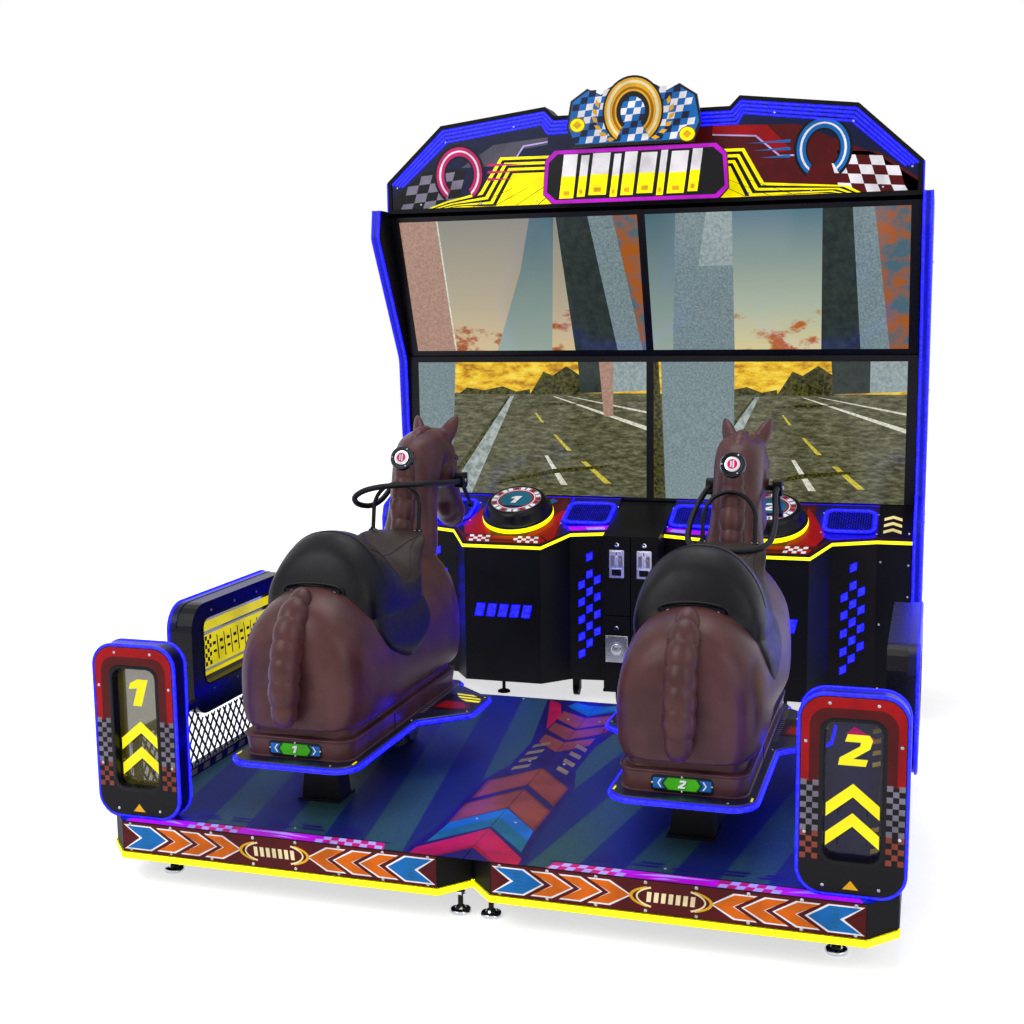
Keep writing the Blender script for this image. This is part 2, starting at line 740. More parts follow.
def make_drive(suffix, side):
    """The pivot bracket, the footplate with its lug and yoke, the gearmotor and its crank."""
    mid_x = HORSE_X * side
    deck = DECK_TOP + GAP
    base = box(
        (-BRACKET_BASE_HALF, PIVOT_Y - BRACKET_BASE_REACH, deck),
        (BRACKET_BASE_HALF, PIVOT_Y + BRACKET_BASE_REACH, deck + BRACKET_PLATE),
    )
    trapezoid = [
        (-BRACKET_BASE_HALF + 0.004, deck + 0.002),
        (BRACKET_BASE_HALF - 0.004, deck + 0.002),
        (BRACKET_TOP_HALF, BRACKET_TOP),
        (-BRACKET_TOP_HALF, BRACKET_TOP),
    ]
    tower = prism(trapezoid, "y", PIVOT_Y - BRACKET_LENGTH / 2, PIVOT_Y + BRACKET_LENGTH / 2)
    slot_half = LUG_HALF_WIDTH + 0.001
    slot_bottom = PIVOT_Z - LUG_RADIUS - 0.012
    slot = box((-slot_half, PIVOT_Y - 0.08, slot_bottom), (slot_half, PIVOT_Y + 0.08, BRACKET_TOP + 0.02))
    tower = cut(tower, slot)
    pin_half = BRACKET_TOP_HALF - 0.004
    pin = rod((-pin_half, PIVOT_Y, PIVOT_Z), (pin_half, PIVOT_Y, PIVOT_Z), PIN_RADIUS)
    bracket = fused(tower, base, pin)
    node("pivot_bracket" + suffix, moved(bracket, (mid_x, 0.0, 0.0)), STEEL_BLACK)

    plate = prism(plate_outline(), "z", PLATE_BOTTOM, PLATE_TOP)
    lug_outline = arc((PIVOT_Y, PIVOT_Z), LUG_RADIUS, 180.0, 360.0, 10)
    lug_top = PLATE_BOTTOM + 0.004
    lug_outline += [(PIVOT_Y + LUG_RADIUS + 0.008, lug_top), (PIVOT_Y - LUG_RADIUS - 0.008, lug_top)]
    lug = prism(lug_outline, "x", -LUG_HALF_WIDTH, LUG_HALF_WIDTH)
    slot_half_z = CRANK_PIN_RADIUS + YOKE_CLEARANCE
    pin_y = CRANK_Y - CRANK_THROW
    slot_low_y = pin_y - 0.014
    slot_high_y = slot_low_y + YOKE_SLOT_LENGTH
    yoke_bottom = CRANK_Z - slot_half_z - YOKE_WALL
    yoke_outline = [
        (slot_low_y - YOKE_WALL, yoke_bottom),
        (slot_high_y + YOKE_WALL, yoke_bottom),
        (slot_high_y + YOKE_WALL, PLATE_BOTTOM + 0.004),
        (slot_low_y - YOKE_WALL, PLATE_BOTTOM + 0.004),
    ]
    yoke = prism(yoke_outline, "x", YOKE_INNER_X, YOKE_INNER_X + YOKE_THICKNESS)
    plate = fused(plate, lug, yoke)
    bore = rod((-0.1, PIVOT_Y, PIVOT_Z), (0.1, PIVOT_Y, PIVOT_Z), PIN_RADIUS + BORE_CLEARANCE)
    slot_outline = rectangle(
        slot_low_y,
        slot_high_y,
        CRANK_Z - slot_half_z,
        CRANK_Z + slot_half_z,
        slot_half_z * 0.98,
        5,
    )
    slot = prism(slot_outline, "x", YOKE_INNER_X - 0.01, YOKE_INNER_X + YOKE_THICKNESS + 0.01)
    plate = cut(plate, bore, slot)
    node(
        "footplate" + suffix,
        moved(plate, (mid_x, 0.0, 0.0)),
        PLATE_DARK,
        pivot=(mid_x, PIVOT_Y, PIVOT_Z),
        smooth_angle=30,
    )

    crank_low = YOKE_INNER_X - 0.004 - CRANK_THICKNESS
    face_x = crank_low - 0.004
    gearbox = box(
        (face_x - GEARBOX_LENGTH, CRANK_Y - GEARBOX_HALF_Y, deck),
        (face_x, CRANK_Y + GEARBOX_HALF_Y, deck + GEARBOX_HEIGHT),
    )
    flange = box(
        (face_x - GEARBOX_LENGTH + 0.006, CRANK_Y - GEARBOX_HALF_Y - 0.022, deck),
        (face_x - 0.006, CRANK_Y + GEARBOX_HALF_Y + 0.022, deck + BRACKET_PLATE),
    )

    def turning(low, high, radius, steps=ROUND_STEPS):
        return rod((low, CRANK_Y, CRANK_Z), (high, CRANK_Y, CRANK_Z), radius, steps)

    motor_face = face_x - GEARBOX_LENGTH
    motor = turning(motor_face - MOTOR_LENGTH, motor_face + 0.01, MOTOR_RADIUS)
    gearbox = fused(gearbox, flange, motor)
    shaft_end = face_x - SHAFT_LENGTH
    gearbox = cut(gearbox, turning(shaft_end - 0.004, face_x + 0.01, SHAFT_RADIUS + BORE_CLEARANCE))
    node("gearmotor" + suffix, moved(gearbox, (mid_x, 0.0, 0.0)), MOTOR_GREY, smooth_angle=30)

    disc = turning(crank_low, crank_low + CRANK_THICKNESS, CRANK_RADIUS)
    shaft = turning(shaft_end, crank_low + 0.004, SHAFT_RADIUS)
    crank_pin = rod(
        (crank_low + 0.004, pin_y, CRANK_Z),
        (YOKE_INNER_X + YOKE_THICKNESS + 0.006, pin_y, CRANK_Z),
        CRANK_PIN_RADIUS,
        16,
    )
    crank = fused(disc, shaft, crank_pin)
    node(
        "crank" + suffix,
        moved(crank, (mid_x, 0.0, 0.0)),
        BRIGHT_STEEL,
        pivot=(mid_x, CRANK_Y, CRANK_Z),
        smooth_angle=30,
    )


def skirt_ring(inset, height):
    outline = rectangle(
        -SKIRT_HALF_WIDTH + inset,
        SKIRT_HALF_WIDTH - inset,
        SKIRT_REAR + inset,
        SKIRT_FRONT - inset,
        SKIRT_CORNER,
    )
    return [(x, y, height) for x, y in outline]


def make_skirt(suffix, side):
    """The moulded tray under the horse, drawn in below its top edge so that a shadow line shows."""
    mid_x = HORSE_X * side
    groove_low = SKIRT_TOP - 0.024
    rings = [
        skirt_ring(0.0, PLATE_TOP + GAP),
        skirt_ring(0.005, groove_low),
        skirt_ring(SKIRT_GROOVE, groove_low + 0.006),
        skirt_ring(SKIRT_GROOVE, SKIRT_TOP),
    ]
    node(
        "skirt" + suffix,
        moved(loft(rings), (mid_x, 0.0, 0.0)),
        HORSE_BROWN,
        pivot=(mid_x, PIVOT_Y, PIVOT_Z),
        smooth_angle=30,
    )


def arch_point(half_width, top, turn):
    """A point of the trunk's arch, at a turn from the crown in radians."""
    power = 2.0 / ROUNDNESS
    across = math.copysign(abs(math.sin(turn)) ** power, turn) * half_width
    return across, WAIST_Z + (top - WAIST_Z) * abs(math.cos(turn)) ** power


def trunk_ring(y, grow=0.0):
    """A slice of the trunk at a place along it, grown on all sides where it shapes what rests on it."""
    half_width, top = (value + grow for value in smooth(TRUNK_STATIONS, y))
    turns = [math.pi * (0.5 - step / TRUNK_ARCH_STEPS) for step in range(TRUNK_ARCH_STEPS + 1)]
    arch = [arch_point(half_width, top, turn) for turn in turns]
    belly = (WAIST_Z + BELLY_Z) / 2
    left = [(-half_width * 0.985, belly), (-half_width * 0.900, BELLY_Z)]
    right = [(half_width * 0.900, BELLY_Z), (half_width * 0.985, belly)]
    return [(x, y, z) for x, z in [*arch, *left, *right]]


def neck_ring(station, grow=0.0):
    z, back, front, half_width = station
    half_width += grow
    centre, reach = (back + front) / 2, (front - back) / 2 + grow
    angles = [2.0 * math.pi * step / NECK_SIDES for step in range(NECK_SIDES)]
    return [(half_width * math.cos(a), centre + reach * math.sin(a), z) for a in angles]


def split(shape):
    """The shape with each bent face split the same way, so that a grown copy lies evenly over it."""
    bmesh.ops.triangulate(shape, faces=shape.faces, quad_method="FIXED")
    return shape


def trunk_skin(grow=0.0):
    return split(loft([trunk_ring(station[0], grow) for station in TRUNK_STATIONS]))


def neck_skin(grow=0.0):
    return split(loft([neck_ring(station, grow) for station in NECK_STATIONS]))


def head_ring(index):
    y, z, depth, half_width = HEAD_STATIONS[index]
    before = HEAD_STATIONS[max(index - 1, 0)]
    after = HEAD_STATIONS[min(index + 1, len(HEAD_STATIONS) - 1)]
    along = Vector((0.0, after[0] - before[0], after[1] - before[1])).normalized()
    across = along.cross(Vector((1.0, 0.0, 0.0)))
    centre = Vector((0.0, y, z))
    ring = []
    for step in range(NECK_SIDES):
        angle = 2.0 * math.pi * step / NECK_SIDES
        spoke = Vector((half_width * math.cos(angle), 0.0, 0.0)) + across * depth * math.sin(angle)
        ring.append(centre + spoke)
    return ring


def plait(route, radius, beads):
    """A plaited tail or mane: a tube drawn in between its beads."""
    count = beads * PLAIT_STEPS
    lengths = [0.0]
    for (y0, z0), (y1, z1) in zip(route, route[1:]):
        lengths.append(lengths[-1] + math.hypot(y1 - y0, z1 - z0))
    stations = [(length, y, z) for length, (y, z) in zip(lengths, route)]
    points, radii = [], []
    for step in range(count + 1):
        y, z = smooth(stations, lengths[-1] * step / count)
        points.append((0.0, y, z))
        share = step / count
        swell = 0.80 + 0.20 * abs(math.sin(math.pi * share * beads)) ** 0.7
        taper = min(1.0, 0.72 + 1.6 * share, 0.45 + 3.2 * (1.0 - share))
        radii.append(radius * swell * taper)
    return tube(points, radii, PLAIT_SIDES)


def button_frame():
    """The place and direction of the neck button: its local Z points out of the neck, back and up."""
    tilt = math.radians(BUTTON_TILT)
    outwards = Vector((0.0, -math.cos(tilt), math.sin(tilt)))
    return Matrix.Translation(BUTTON_POINT) @ outwards.to_track_quat("Z", "X").to_matrix().to_4x4()


def on_button(radius, low, high, sides=ROUND_STEPS):
    """A round plug on the neck button's axis."""
    return transformed(turned([(radius, low), (radius, high)], steps=sides), button_frame())


def make_horse(suffix, side):
    """The horse's body: trunk, neck, head, ears, plaited mane and tail in one moulding."""
    mid_x = HORSE_X * side
    head = loft([head_ring(index) for index in range(len(HEAD_STATIONS))])
    pieces = [neck_skin(), head]
    for flip in (-1, 1):
        base = Vector((EAR_BASE[0] * flip, EAR_BASE[1], EAR_BASE[2]))
        tip = Vector((EAR_TIP[0] * flip, EAR_TIP[1], EAR_TIP[2]))
        route = [base, base.lerp(tip, 0.35), base.lerp(tip, 0.75), tip]
        radii = [EAR_RADIUS, EAR_RADIUS * 0.95, EAR_RADIUS * 0.62, EAR_RADIUS * 0.20]
        pieces.append(tube(route, radii, 8, squash=0.7))
    pieces.append(plait(MANE_ROUTE, MANE_RADIUS, MANE_BEADS))
    pieces.append(plait(TAIL_ROUTE, TAIL_RADIUS, TAIL_BEADS))
    pieces.append(on_button(BUTTON_BEZEL_RADIUS + 0.002, -0.060, 0.0))
    body = fused(trunk_skin(), *pieces)
    slab = on_button(BUTTON_BEZEL_RADIUS + 0.006, 0.0, 0.050)
    socket = on_button(BUTTON_CAP_RADIUS + 0.001, -BUTTON_SOCKET_DEPTH, 0.020)
    bore = rod(
        (-REIN_KNOB_OUTER, REIN_BAR_Y, REIN_BAR_Z),
        (REIN_KNOB_OUTER, REIN_BAR_Y, REIN_BAR_Z),
        REIN_BAR_RADIUS + BORE_CLEARANCE,
    )
    body = cut(body, slab, socket, bore)
    node(
        "horse_body" + suffix,
        moved(body, (mid_x, 0.0, 0.0)),
        HORSE_BROWN,
        pivot=(mid_x, PIVOT_Y, PIVOT_Z),
        smooth_angle=50,
    )


def saddle_ring(station):
    """A slice of the saddle: its crown and flaps, and an inner face sunk in the trunk for the cut."""
    y, top, edge = station
    half_width, trunk_top = smooth(TRUNK_STATIONS, y)
    inner_half, inner_top = half_width - SADDLE_SINK, trunk_top - SADDLE_SINK
    outer_half = half_width + SADDLE_PAD
    rise = (edge - WAIST_Z) / (inner_top - WAIST_Z)
    last_turn = math.acos(rise ** (ROUNDNESS / 2.0))
    shares = [2.0 * step / SADDLE_ARC_STEPS - 1.0 for step in range(SADDLE_ARC_STEPS + 1)]
    turns = [last_turn * share for share in shares]
    outer = [arch_point(outer_half, top, turn) for turn in turns]
    inner = [arch_point(inner_half, inner_top, turn) for turn in reversed(turns)]
    outer[0] = (outer[0][0] * 0.985, inner[-1][1] + 0.006)
    outer[-1] = (outer[-1][0] * 0.985, inner[0][1] + 0.006)
    return [(x, y, z) for x, z in [*outer, *inner]]


def make_saddle(suffix, side):
    """The padded saddle, high behind and in front, with its flaps and the seats of the grab handle."""
    mid_x = HORSE_X * side
    saddle = loft([saddle_ring(station) for station in SADDLE_STATIONS])
    mane = plait(MANE_ROUTE, MANE_RADIUS + SADDLE_CLEARANCE, MANE_BEADS)
    for grown in (trunk_skin(SADDLE_CLEARANCE), neck_skin(SADDLE_CLEARANCE), mane):
        saddle = cut(saddle, grown)
    bosses = []
    for x in (-HANDLE_HALF_WIDTH, HANDLE_HALF_WIDTH):
        low, high = (x, HANDLE_BASE_Y, HANDLE_BOSS_LOW), (x, HANDLE_BASE_Y, HANDLE_SEAT_Z)
        bosses.append(rod(low, high, HANDLE_FLANGE_RADIUS + 0.002, HANDLE_FLANGE_SIDES))
    saddle = fused(saddle, *bosses)
    node(
        "saddle" + suffix,
        moved(saddle, (mid_x, 0.0, 0.0)),
        LEATHERETTE,
        pivot=(mid_x, PIVOT_Y, PIVOT_Z),
        smooth_angle=50,
    )


def make_grab_handle(suffix, side):
    """The bent tube hoop before the saddle, on two round flanges."""
    mid_x = HORSE_X * side
    seat = HANDLE_SEAT_Z + GAP
    flange_top = seat + HANDLE_FLANGE_HEIGHT
    shoulder = HANDLE_TOP_Z - HANDLE_HALF_WIDTH
    hoop = [(-HANDLE_HALF_WIDTH, seat + HANDLE_FLANGE_HEIGHT / 2)]
    hoop += [(-x, z) for x, z in arc((0.0, shoulder), HANDLE_HALF_WIDTH, 0.0, 180.0, 10)]
    hoop.append((HANDLE_HALF_WIDTH, seat + HANDLE_FLANGE_HEIGHT / 2))
    lean = (HANDLE_TOP_Y - HANDLE_BASE_Y) / (HANDLE_TOP_Z - seat)
    route = [(x, HANDLE_BASE_Y + lean * (z - seat), z) for x, z in hoop]
    handle = tube(route, [HANDLE_RADIUS] * len(route), HANDLE_SIDES)
    flanges = []
    for x in (-HANDLE_HALF_WIDTH, HANDLE_HALF_WIDTH):
        low, high = (x, HANDLE_BASE_Y, seat), (x, HANDLE_BASE_Y, flange_top)
        flanges.append(rod(low, high, HANDLE_FLANGE_RADIUS, HANDLE_FLANGE_SIDES))
    handle = fused(handle, *flanges)
    node(
        "grab_handle" + suffix,
        moved(handle, (mid_x, 0.0, 0.0)),
        STEEL_BLACK,
        pivot=(mid_x, PIVOT_Y, PIVOT_Z),
        smooth_angle=40,
    )


def make_neck_button(suffix, side):
    """The start button on the neck: a chromed bezel, and the cap that slides in it."""
    place = Matrix.Translation((HORSE_X * side, 0.0, 0.0)) @ button_frame()
    inner = BUTTON_CAP_RADIUS + 0.0006
    height = BUTTON_BEZEL_HEIGHT
    profile = [
        (inner, GAP),
        (BUTTON_BEZEL_RADIUS, GAP),
        (BUTTON_BEZEL_RADIUS, height * 0.55),
        (BUTTON_BEZEL_RADIUS * 0.86, height),
        (BUTTON_BEZEL_RADIUS * 0.66, height * 0.75),
        (inner, height * 0.75),
    ]
    bezel = transformed(turned(profile, looped=True), place)
    node("button_bezel" + suffix, bezel, CHROME, smooth_angle=40)
    seat = -BUTTON_SOCKET_DEPTH + BUTTON_TRAVEL + 0.001
    top = height * 0.75 + BUTTON_CAP_PROUD
    profile = [
        (BUTTON_CAP_RADIUS, seat),
        (BUTTON_CAP_RADIUS, top - 0.004),
        (BUTTON_CAP_RADIUS * 0.85, top - 0.001),
        (BUTTON_CAP_RADIUS * 0.40, top),
    ]
    cap = transformed(turned(profile), place)
    node("neck_button" + suffix, cap, BUTTON_WHITE, pivot=place.translation, smooth_angle=40)


def make_rein_bar(suffix, side):
    """The rein lever: a bar through the jaw, with a knob and a bit arm on each side."""
    mid_x = HORSE_X * side

    def across_jaw(low, high, radius, y=REIN_BAR_Y, z=REIN_BAR_Z, steps=16):
        return rod((low, y, z), (high, y, z), radius, steps)

    bar = across_jaw(-REIN_KNOB_INNER - 0.01, REIN_KNOB_INNER + 0.01, REIN_BAR_RADIUS)
    tip_y, tip_z = REIN_ARM_TIP
    along = Vector((tip_y - REIN_BAR_Y, tip_z - REIN_BAR_Z)).normalized()
    across = Vector((-along.y, along.x)) * REIN_ARM_WIDTH / 2
    start, end = Vector((REIN_BAR_Y, REIN_BAR_Z)), Vector(REIN_ARM_TIP)
    outline = [start - across, end - across, end + across, start + across]
    pieces = []
    for flip in (-1, 1):
        inner, outer = REIN_KNOB_INNER * flip, REIN_KNOB_OUTER * flip
        pieces.append(across_jaw(inner, outer, REIN_KNOB_RADIUS))
        middle = (inner + outer) / 2
        low, high = middle - REIN_ARM_THICKNESS / 2, middle + REIN_ARM_THICKNESS / 2
        pieces.append(prism([tuple(point) for point in outline], "x", low, high))
        pieces.append(across_jaw(low - 0.002, high + 0.002, REIN_ARM_WIDTH * 0.8, tip_y, tip_z, 10))
    bar = fused(bar, *pieces)
    node(
        "rein_bar" + suffix,
        moved(bar, (mid_x, 0.0, 0.0)),
        RUBBER,
        pivot=(mid_x, REIN_BAR_Y, REIN_BAR_Z),
        smooth_angle=40,
    )


REIN_START_Y = REIN_BAR_Y - REIN_KNOB_RADIUS - GAP * 2
REIN_LOOSE_ROUTE = (
    (0.115, REIN_START_Y, 1.090),
    (0.116, 1.295, 1.090),
    (0.120, 1.220, 1.078),
    (0.132, 1.130, 1.040),
    (0.138, 1.050, 0.995),
    (0.130, 0.975, 0.958),
    (0.090, 0.918, 0.944),
    (0.000, 0.893, 0.9405),
    (-0.090, 0.918, 0.944),
    (-0.130, 0.975, 0.958),
    (-0.138, 1.050, 0.995),
    (-0.132, 1.130, 1.040),
    (-0.120, 1.220, 1.078),
    (-0.116, 1.295, 1.090),
    (-0.115, REIN_START_Y, 1.090),
)
REIN_LOOPED_ROUTE = (
    (0.115, REIN_START_Y, 1.090),
    (0.116, 1.295, 1.090),
    (0.120, 1.200, 1.098),
    (0.122, 1.100, 1.108),
    (0.114, 1.020, 1.116),
    (0.080, 0.972, 1.118),
    (0.020, 0.962, 1.114),
    (-0.050, 0.958, 1.106),
    (-0.110, 0.960, 1.090),
    (-0.150, 0.978, 1.064),
    (-0.156, 1.020, 1.036),
    (-0.132, 1.070, 1.024),
    (-0.118, 1.140, 1.036),
    (-0.115, 1.220, 1.066),
    (-0.115, 1.290, 1.088),
    (-0.115, REIN_START_Y, 1.090),
)


def spline_points(route, count):
    """Evenly stepped points on the smooth curve through a route in space."""
    lengths = [0.0]
    for first, second in zip(route, route[1:]):
        lengths.append(lengths[-1] + (Vector(second) - Vector(first)).length)
    stations = [(length, *place) for length, place in zip(lengths, route)]
    return [smooth(stations, lengths[-1] * step / (count - 1)) for step in range(count)]


def make_reins(suffix, side):
    """The thick rubber rein, a loop from one knob of the rein bar to the other."""
    route = REIN_LOOPED_ROUTE if side < 0 else REIN_LOOSE_ROUTE
    points = spline_points(route, REIN_POINTS)
    curve = bpy.data.curves.new("reins" + suffix, "CURVE")
    curve.dimensions = "3D"
    curve.bevel_depth = REIN_RADIUS
    curve.bevel_resolution = 2
    curve.use_fill_caps = True
    spline = curve.splines.new("POLY")
    spline.points.add(len(points) - 1)
    for control, point in zip(spline.points, points):
        control.co = (*point, 1.0)
    spline.use_smooth = True
    curve.materials.append(RUBBER)
    item = bpy.data.objects.new("reins" + suffix, curve)
    bpy.context.scene.collection.objects.link(item)
    item.parent = MACHINE
    item.location = (HORSE_X * side, 0.0, 0.0)


def console_height(y):
    return CONSOLE_EDGE_Z + CONSOLE_SLOPE * (y - CONSOLE_FRONT)


def console_outline(proud):
    """The console in plan on the +X side: a front that steps out before the lamp and back at both ends."""
    front = CONSOLE_FRONT - proud
    bend = proud * 0.55
    return [
        (CABINET_INNER_X, CONSOLE_STEPS[1] - proud),
        (0.290 - bend, CONSOLE_STEPS[0] - proud),
        (0.393 - bend, front),
        (0.737 + bend, front),
        (0.815 + bend, CONSOLE_STEPS[0] - proud),
        (0.995, CONSOLE_STEPS[2] - proud),
        (CABINET_OUTER_X, CONSOLE_STEPS[2] - proud),
    ]


def on_console(x, y, lift=0.0):
    """A frame on the console's slope: local Z stands out of the panel and local Y runs up it."""
    tilt = math.atan(CONSOLE_SLOPE)
    place = Vector((x, y, console_height(y)))
    turn = Matrix.Rotation(tilt, 4, "X")
    return Matrix.Translation(place) @ turn @ Matrix.Translation((0.0, 0.0, lift))


def make_lower_cabinet(suffix, side):
    """The cabinet under the screens: its body, console with speaker rims, casters and feet."""
    rear = DEPTH
    front = console_outline(0.0)
    plan = [*front, (CABINET_OUTER_X, rear), (CABINET_INNER_X, rear)]
    slope_end = CONSOLE_FRONT + (CABINET_TOP - CONSOLE_EDGE_Z) / CONSOLE_SLOPE

    def top_of(y):
        return min(console_height(y) - CONSOLE_THICKNESS / 2, CABINET_TOP)

    body = prism(plan, "z", CABINET_BOTTOM, CABINET_TOP)
    wedge = [
        (CONSOLE_FRONT - 0.2, top_of(CONSOLE_FRONT - 0.2)),
        (slope_end + CONSOLE_THICKNESS, top_of(slope_end + CONSOLE_THICKNESS)),
        (slope_end + CONSOLE_THICKNESS, CABINET_TOP + 0.1),
        (CONSOLE_FRONT - 0.2, CABINET_TOP + 0.1),
    ]
    body = cut(body, prism(wedge, "x", CABINET_INNER_X - 0.1, CABINET_OUTER_X + 0.1))
    shelf_plan = console_outline(CONSOLE_OVERHANG)
    shelf_plan += [(CABINET_OUTER_X, slope_end), (CABINET_INNER_X, slope_end)]
    low = [(x, y, console_height(y) - CONSOLE_THICKNESS) for x, y in shelf_plan]
    high = [(x, y, console_height(y)) for x, y in shelf_plan]
    pieces = [loft([low, high])]
    half_x, half_y = SPEAKER_WIDTH / 2, SPEAKER_LENGTH / 2
    outer = rectangle(-half_x, half_x, -half_y, half_y, SPEAKER_CORNER)
    half_x, half_y = half_x - SPEAKER_RIM, half_y - SPEAKER_RIM
    inner = rectangle(-half_x, half_x, -half_y, half_y, SPEAKER_CORNER * 0.6)
    for x in SPEAKER_XS:
        rim = prism(outer, "z", -SPEAKER_PROUD * 0.5, SPEAKER_PROUD)
        well = prism(inner, "z", SPEAKER_PROUD * 0.5, SPEAKER_PROUD * 2.0)
        pieces.append(transformed(cut(rim, well), on_console(x, SPEAKER_Y)))
    sole = CABINET_BOTTOM + FOOT_OVERLAP
    for y in (CABINET_FOOT[1], CABINET_REAR_FOOT_Y):
        pieces.append(foot(CABINET_FOOT[0], y, sole))
    for x, y in CASTER_PLACES:
        pieces.append(caster(x, y, sole))
    body = fused(body, *pieces)
    node("lower_cabinet" + suffix, sided(body, side), CASE_BLACK)


def make_lamp(suffix, side):
    """The round lamp on the console: a light ring, a drum and its flat top."""
    profile = [
        (LAMP_RING_RADIUS, 0.0),
        (LAMP_RING_RADIUS, LAMP_RING_HEIGHT * 0.75),
        (LAMP_RING_RADIUS - 0.010, LAMP_RING_HEIGHT),
        (LAMP_TOP_RADIUS + 0.014, LAMP_RING_HEIGHT),
        (LAMP_TOP_RADIUS, LAMP_RING_HEIGHT + 0.010),
        (LAMP_TOP_RADIUS, LAMP_HEIGHT - 0.006),
        (LAMP_TOP_RADIUS - 0.006, LAMP_HEIGHT),
        (LAMP_TOP_RADIUS - 0.016, LAMP_HEIGHT),
        (LAMP_TOP_RADIUS - 0.018, LAMP_HEIGHT - 0.003),
    ]
    drum = transformed(turned(profile, steps=LAMP_STEPS), on_console(LAMP_X, LAMP_Y, GAP))
    node("lamp_drum" + suffix, sided(drum, side), CASE_BLACK, smooth_angle=30)


def make_coin_tower():
    """The coin tower between the consoles, with four bays behind its doors."""
    back_of_door = TOWER_FRONT + DOOR_THICKNESS + GAP
    profile = [
        (TOWER_FRONT, TOWER_BOTTOM),
        (DEPTH, TOWER_BOTTOM),
        (DEPTH, CABINET_TOP),
        (TOWER_REAR_TOP[0] + 0.02, CABINET_TOP),
        TOWER_REAR_TOP,
        (TOWER_FRONT, TOWER_EDGE_Z),
    ]
    half = TOWER_HALF_WIDTH - GAP
    tower = prism(profile, "x", -half, half)
    rebate_low, rebate_high = CASH_DOOR_Z[0] - GAP, COIN_DOOR_Z[1] + GAP
    tower = cut(tower, box((-0.2, TOWER_FRONT - 0.1, rebate_low), (0.2, back_of_door, rebate_high)))
    bays = []
    for side in (-1, 1):
        for low_z, high_z in (CASH_DOOR_Z, COIN_DOOR_Z):
            x0 = (DOOR_INNER_X + BAY_INSET) * side
            x1 = (DOOR_OUTER_X - BAY_INSET) * side
            low = (min(x0, x1), TOWER_FRONT, low_z + BAY_INSET)
            high = (max(x0, x1), back_of_door + BAY_DEPTH, high_z - BAY_INSET)
            bays.append(box(low, high))
    tower = cut(tower, several(bays))
    wheels = []
    for x, y in TOWER_CASTERS:
        wheels.append(caster(-x, y, TOWER_BOTTOM + FOOT_OVERLAP))
        wheels.append(caster(x, y, TOWER_BOTTOM + FOOT_OVERLAP))
    tower = fused(tower, *wheels)
    node("coin_tower", tower, CASE_BLACK)


def lock(z):
    x = (DOOR_INNER_X + DOOR_OUTER_X) / 2
    return rod((x, TOWER_FRONT - 0.006, z), (x, TOWER_FRONT + 0.004, z), LOCK_RADIUS, 16)


def hinge_barrel(low_z, high_z):
    low = (DOOR_OUTER_X, TOWER_FRONT, low_z + HINGE_MARGIN)
    high = (DOOR_OUTER_X, TOWER_FRONT, high_z - HINGE_MARGIN)
    return rod(low, high, HINGE_RADIUS, 12)


def make_doors(suffix, side):
    """The coin door and the cash door of one player, each hung at its outer edge."""
    back = TOWER_FRONT + DOOR_THICKNESS
    pivot = (DOOR_OUTER_X * side, TOWER_FRONT, 0.0)
    low_z, high_z = COIN_DOOR_Z
    door = box((DOOR_INNER_X, TOWER_FRONT, low_z), (DOOR_OUTER_X, back, high_z))
    plate = box(
        (COIN_PLATE_X[0], TOWER_FRONT - PLATE_PROUD, COIN_PLATE_Z[0]),
        (COIN_PLATE_X[1], TOWER_FRONT + 0.004, COIN_PLATE_Z[1]),
    )
    middle_x = sum(COIN_PLATE_X) / 2
    chute = box(
        (middle_x - CHUTE_HALF_WIDTH, TOWER_FRONT + 0.004, COIN_PLATE_Z[0] - 0.06),
        (middle_x + CHUTE_HALF_WIDTH, back + CHUTE_DEPTH, COIN_PLATE_Z[1] + 0.01),
    )
    door = fused(door, plate, chute, lock(high_z - 0.018), hinge_barrel(low_z, high_z))
    slot_z = COIN_PLATE_Z[1] - 0.045
    slot = box(
        (middle_x - 0.0015, TOWER_FRONT - 0.02, slot_z),
        (middle_x + 0.0015, TOWER_FRONT + 0.03, slot_z + 0.030),
    )
    cup = box(
        (middle_x - 0.018, TOWER_FRONT - 0.02, COIN_PLATE_Z[0] + 0.010),
        (middle_x + 0.018, TOWER_FRONT + 0.012, COIN_PLATE_Z[0] + 0.040),
    )
    door = cut(door, slot, cup)
    node("coin_door" + suffix, sided(door, side), CASE_BLACK, pivot=pivot)
    low_z, high_z = CASH_DOOR_Z
    door = box((DOOR_INNER_X, TOWER_FRONT, low_z), (DOOR_OUTER_X, back, high_z))
    plate = box(
        (CASH_PLATE_X[0], TOWER_FRONT - PLATE_PROUD, CASH_PLATE_Z[0]),
        (CASH_PLATE_X[1], TOWER_FRONT + 0.004, CASH_PLATE_Z[1]),
    )
    door = fused(door, plate, lock(CASH_LOCK_Z), hinge_barrel(low_z, high_z))
    node("cash_door" + suffix, sided(door, side), CASE_BLACK, pivot=pivot)


def screen_slab(line, active):
    """A screen: a slab behind a line in the YZ plane, with its active area set back."""
    start, end = Vector(line[0]), Vector(line[1])
    along = (end - start).normalized()
    behind = Vector((along.y, -along.x))
    inner_x = GAP
    outline = [start, end, end + behind * SCREEN_THICKNESS, start + behind * SCREEN_THICKNESS]
    slab = prism([tuple(point) for point in outline], "x", inner_x, SCREEN_OUTER_X)
    low, high = start + along * active[0], start + along * active[1]
    near, far = -behind * 0.01, behind * SCREEN_RECESS
    corners = (low + near, high + near, high + far, low + far)
    recess = prism([tuple(corner) for corner in corners], "x", *SCREEN_ACTIVE_X)
    return cut(slab, recess)


